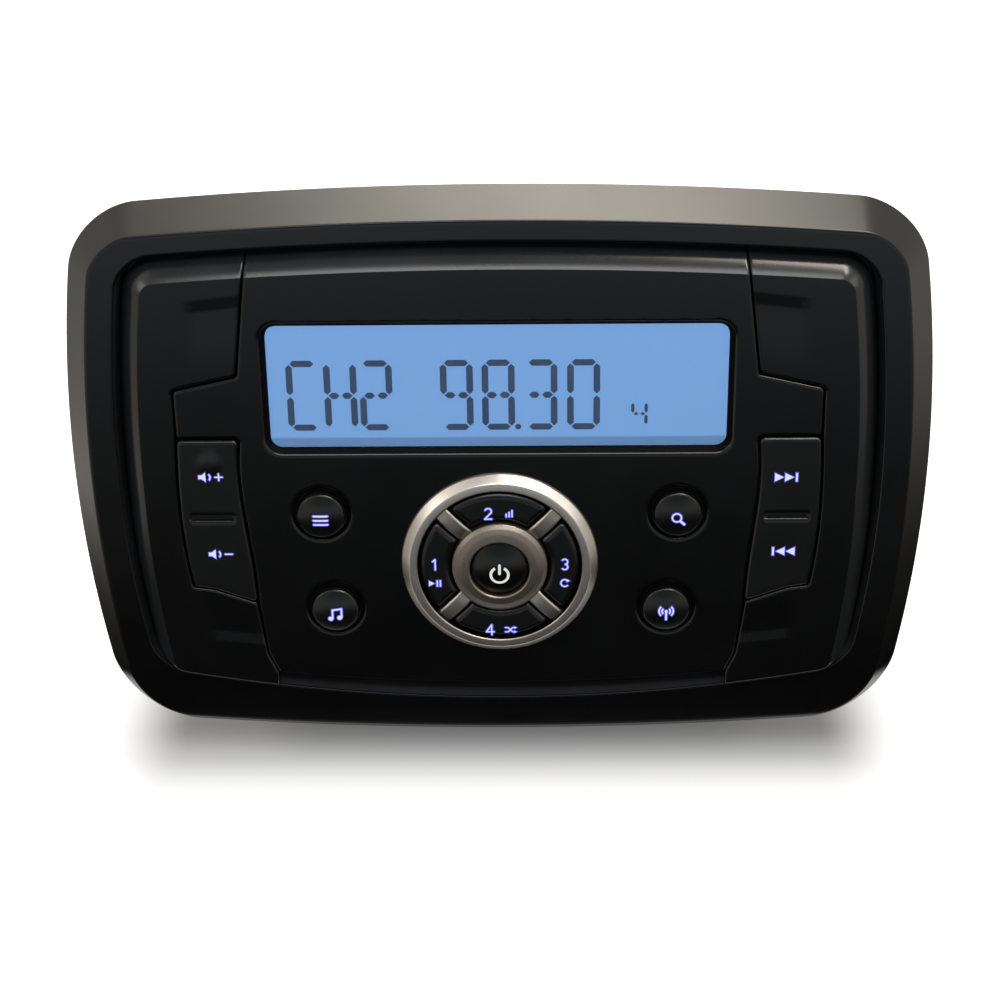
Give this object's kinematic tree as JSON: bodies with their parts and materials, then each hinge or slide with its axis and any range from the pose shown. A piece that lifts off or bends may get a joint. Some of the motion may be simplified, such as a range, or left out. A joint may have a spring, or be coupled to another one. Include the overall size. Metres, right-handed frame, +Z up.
{
  "type": "marine stereo",
  "caption": "Flush-mount marine stereo head unit: bowed bezel, backlit display, round and ring-set push keys, side rockers, sealed chassis with a finned rear cover.",
  "frame": {"origin": "centre of the four panel screw holes, on the panel plane at the rear of the bezel flange", "axes": "+X to the right seen from the front, +Y into the panel, towards the rear, +Z up; the front faces -Y"},
  "size_m": [0.178, 0.0623, 0.124],
  "materials": {
    "bezel_plastic": "satin moulded, fine spark texture",
    "fascia_plastic": "matt moulded, fine texture",
    "cover_plastic": "matt moulded, fine texture",
    "window": "clear",
    "lcd_glass": "backlit blue",
    "light_guide": "clear diffuser",
    "led": "clear epoxy",
    "key_plastic": "satin moulded",
    "trim_silver": "satin silver",
    "silicone": "matt",
    "circuit_board": "solder mask",
    "screw_steel": "plated",
    "connector_plastic": "moulded",
    "gasket_rubber": "closed-cell foam",
    "chassis_plastic": "fine spark texture",
    "rear_alloy": "black cast",
    "chip_epoxy": "moulded",
    "tuner_can": "tinned",
    "capacitor_sleeve": "sleeve",
    "contact_brass": "plated",
    "aerial_metal": "plated",
    "phono_plastic": "moulded"
  },
  "bodies": {
    "unit": {"bezel": "bezel_plastic", "fascia": "fascia_plastic", "left_side_cover": "cover_plastic", "right_side_cover": "cover_plastic", "display_window": "window", "display_glass": "lcd_glass", "light_guide": "light_guide", "backlight_leds": "led", "trim_ring": "trim_silver", "key_mat": "silicone", "front_board": "circuit_board", "main_board": "circuit_board", "front_board_screws": "screw_steel", "case_screws": "screw_steel", "rear_screws": "screw_steel", "main_board_screws": "screw_steel", "amplifier_screw": "screw_steel", "board_header": "connector_plastic", "power_socket": "connector_plastic", "panel_gasket": "gasket_rubber", "case_seal": "gasket_rubber", "rear_seal": "gasket_rubber", "chassis": "chassis_plastic", "rear_cover": "rear_alloy", "amplifier_chip": "chip_epoxy", "tuner_module": "tuner_can", "capacitors": "capacitor_sleeve", "power_pins": "contact_brass", "aerial_contact": "contact_brass", "aerial_socket": "aerial_metal", "phono_sockets": "phono_plastic"},
    "volume_rocker": {"volume_rocker": "key_plastic"},
    "seek_rocker": {"seek_rocker": "key_plastic"},
    "set_key": {"set_key": "key_plastic"},
    "mode_key": {"mode_key": "key_plastic"},
    "scan_key": {"scan_key": "key_plastic"},
    "band_key": {"band_key": "key_plastic"},
    "preset_key_1": {"preset_key_1": "key_plastic"},
    "preset_key_2": {"preset_key_2": "key_plastic"},
    "preset_key_3": {"preset_key_3": "key_plastic"},
    "preset_key_4": {"preset_key_4": "key_plastic"},
    "power_key": {"power_key": "key_plastic"}
  },
  "joints": [
    {"name": "volume_rocker_tilt", "type": "hinge", "parent": "unit", "child": "volume_rocker", "pos_m": [-0.0591, -0.0064, -0.006], "axis": [1, 0, 0], "range_deg": [-2.5, 2.5], "stiffness_Nm_per_rad": 0.4},
    {"name": "seek_rocker_tilt", "type": "hinge", "parent": "unit", "child": "seek_rocker", "pos_m": [0.0591, -0.0064, -0.006], "axis": [1, 0, 0], "range_deg": [-2.5, 2.5], "stiffness_Nm_per_rad": 0.4},
    {"name": "set_key_press", "type": "slide", "parent": "unit", "child": "set_key", "axis": [0, 1, 0], "range_m": [0, 0.0007], "stiffness_N_per_m": 1500},
    {"name": "mode_key_press", "type": "slide", "parent": "unit", "child": "mode_key", "axis": [0, 1, 0], "range_m": [0, 0.0007], "stiffness_N_per_m": 1500},
    {"name": "scan_key_press", "type": "slide", "parent": "unit", "child": "scan_key", "axis": [0, 1, 0], "range_m": [0, 0.0007], "stiffness_N_per_m": 1500},
    {"name": "band_key_press", "type": "slide", "parent": "unit", "child": "band_key", "axis": [0, 1, 0], "range_m": [0, 0.0007], "stiffness_N_per_m": 1500},
    {"name": "preset_key_1_press", "type": "slide", "parent": "unit", "child": "preset_key_1", "axis": [0, 1, 0], "range_m": [0, 0.0007], "stiffness_N_per_m": 1500},
    {"name": "preset_key_2_press", "type": "slide", "parent": "unit", "child": "preset_key_2", "axis": [0, 1, 0], "range_m": [0, 0.0007], "stiffness_N_per_m": 1500},
    {"name": "preset_key_3_press", "type": "slide", "parent": "unit", "child": "preset_key_3", "axis": [0, 1, 0], "range_m": [0, 0.0007], "stiffness_N_per_m": 1500},
    {"name": "preset_key_4_press", "type": "slide", "parent": "unit", "child": "preset_key_4", "axis": [0, 1, 0], "range_m": [0, 0.0007], "stiffness_N_per_m": 1500},
    {"name": "power_key_press", "type": "slide", "parent": "unit", "child": "power_key", "axis": [0, 1, 0], "range_m": [0, 0.0007], "stiffness_N_per_m": 1500}
  ]
}
